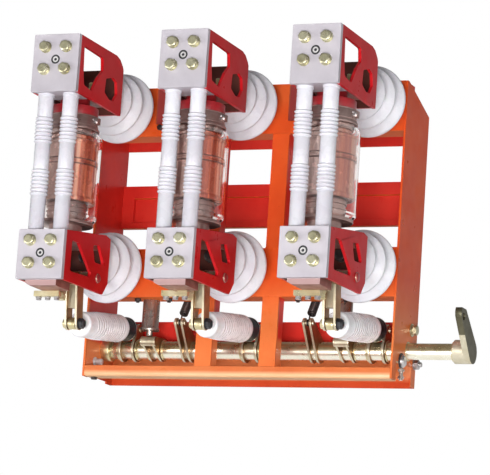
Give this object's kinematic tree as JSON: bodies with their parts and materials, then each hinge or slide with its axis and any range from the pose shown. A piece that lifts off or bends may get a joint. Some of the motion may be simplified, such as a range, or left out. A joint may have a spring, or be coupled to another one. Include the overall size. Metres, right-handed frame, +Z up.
{
  "type": "vacuum circuit breaker",
  "caption": "Open-frame indoor vacuum circuit breaker: poles on post insulators in front of a welded frame, linked by bell cranks and insulating rods to one main shaft.",
  "frame": {"origin": "on the mounting face at the back of the frame, midway between the end panels and level with the main shaft", "axes": "+X along the main shaft towards its free end lever, +Y from the poles to the mounting face, +Z up"},
  "size_m": [0.7469, 0.4515, 0.5712],
  "materials": {
    "orange_paint": "satin orange enamel",
    "red_paint": "satin deep red enamel",
    "white_epoxy": "smooth white cast resin",
    "grey_metal": "silver plated, matt",
    "clear_glass": "clear borosilicate glass",
    "copper_shield": "copper-tinted metal",
    "yellow_zinc": "yellow passivated zinc",
    "dark_steel": "dark oiled steel",
    "black_plastic": "black moulding"
  },
  "bodies": {
    "frame": {"left_end_panel": "orange_paint", "right_end_panel": "orange_paint", "upper_rail": "orange_paint", "lower_rail": "orange_paint", "front_stiles": "orange_paint", "bottom_beam": "orange_paint", "rear_top_rail": "orange_paint", "rear_middle_rail": "orange_paint", "rear_bottom_panel": "orange_paint", "upper_insulators": "white_epoxy", "lower_insulators": "white_epoxy", "upper_brackets": "red_paint", "lower_brackets": "red_paint", "upper_terminals": "grey_metal", "lower_terminals": "grey_metal", "stay_rods": "white_epoxy", "glass_envelopes": "clear_glass", "arc_shields": "copper_shield", "clamp_rings": "grey_metal", "top_bosses": "red_paint", "guide_bars": "yellow_zinc", "shaft_bearings": "yellow_zinc", "buffers": "dark_steel", "opening_springs": "dark_steel"},
    "shaft": {"main_shaft": "yellow_zinc", "phase_cranks": "yellow_zinc", "spring_levers": "yellow_zinc", "buffer_levers": "yellow_zinc", "end_lever": "yellow_zinc"},
    "stem_left": {"contact_stem_left": "yellow_zinc"},
    "bell_crank_left": {"bell_crank_left": "yellow_zinc"},
    "pull_rod_left": {"pull_rod_left": "white_epoxy", "pull_rod_eye_left": "yellow_zinc", "pull_rod_cap_left": "black_plastic"},
    "stem_middle": {"contact_stem_middle": "yellow_zinc"},
    "bell_crank_middle": {"bell_crank_middle": "yellow_zinc"},
    "pull_rod_middle": {"pull_rod_middle": "white_epoxy", "pull_rod_eye_middle": "yellow_zinc", "pull_rod_cap_middle": "black_plastic"},
    "stem_right": {"contact_stem_right": "yellow_zinc"},
    "bell_crank_right": {"bell_crank_right": "yellow_zinc"},
    "pull_rod_right": {"pull_rod_right": "white_epoxy", "pull_rod_eye_right": "yellow_zinc", "pull_rod_cap_right": "black_plastic"}
  },
  "joints": [
    {"name": "shaft_turn", "type": "hinge", "parent": "frame", "child": "shaft", "pos_m": [0, -0.043, 0], "axis": [1, 0, 0], "range_deg": [0, 33], "deforming": ["opening_springs"]},
    {"name": "bell_crank_left_turn", "type": "hinge", "parent": "frame", "child": "bell_crank_left", "pos_m": [-0.25, -0.305, 0.089], "axis": [1, 0, 0], "range_deg": [-16, 0]},
    {"name": "pull_rod_left_turn", "type": "hinge", "parent": "bell_crank_left", "child": "pull_rod_left", "pos_m": [-0.25, -0.2965, 0.0077], "axis": [1, 0, 0], "range_deg": [0, 16]},
    {"name": "stem_left_slide", "type": "slide", "parent": "frame", "child": "stem_left", "axis": [0, 0, 1], "range_m": [0, 0.011]},
    {"name": "bell_crank_middle_turn", "type": "hinge", "parent": "frame", "child": "bell_crank_middle", "pos_m": [0, -0.305, 0.089], "axis": [1, 0, 0], "range_deg": [-16, 0]},
    {"name": "pull_rod_middle_turn", "type": "hinge", "parent": "bell_crank_middle", "child": "pull_rod_middle", "pos_m": [0, -0.2965, 0.0077], "axis": [1, 0, 0], "range_deg": [0, 16]},
    {"name": "stem_middle_slide", "type": "slide", "parent": "frame", "child": "stem_middle", "axis": [0, 0, 1], "range_m": [0, 0.011]},
    {"name": "bell_crank_right_turn", "type": "hinge", "parent": "frame", "child": "bell_crank_right", "pos_m": [0.25, -0.305, 0.089], "axis": [1, 0, 0], "range_deg": [-16, 0]},
    {"name": "pull_rod_right_turn", "type": "hinge", "parent": "bell_crank_right", "child": "pull_rod_right", "pos_m": [0.25, -0.2965, 0.0077], "axis": [1, 0, 0], "range_deg": [0, 16]},
    {"name": "stem_right_slide", "type": "slide", "parent": "frame", "child": "stem_right", "axis": [0, 0, 1], "range_m": [0, 0.011]}
  ],
  "couplings": [
    {"joint": "bell_crank_left_turn", "follows": "shaft_turn", "ratio": -0.484},
    {"joint": "stem_left_slide", "follows": "shaft_turn", "m_per_rad": 0.019},
    {"joint": "pull_rod_left_turn", "follows": "shaft_turn", "ratio": 0.466},
    {"joint": "bell_crank_middle_turn", "follows": "shaft_turn", "ratio": -0.484},
    {"joint": "stem_middle_slide", "follows": "shaft_turn", "m_per_rad": 0.019},
    {"joint": "pull_rod_middle_turn", "follows": "shaft_turn", "ratio": 0.466},
    {"joint": "bell_crank_right_turn", "follows": "shaft_turn", "ratio": -0.484},
    {"joint": "stem_right_slide", "follows": "shaft_turn", "m_per_rad": 0.019},
    {"joint": "pull_rod_right_turn", "follows": "shaft_turn", "ratio": 0.466}
  ]
}
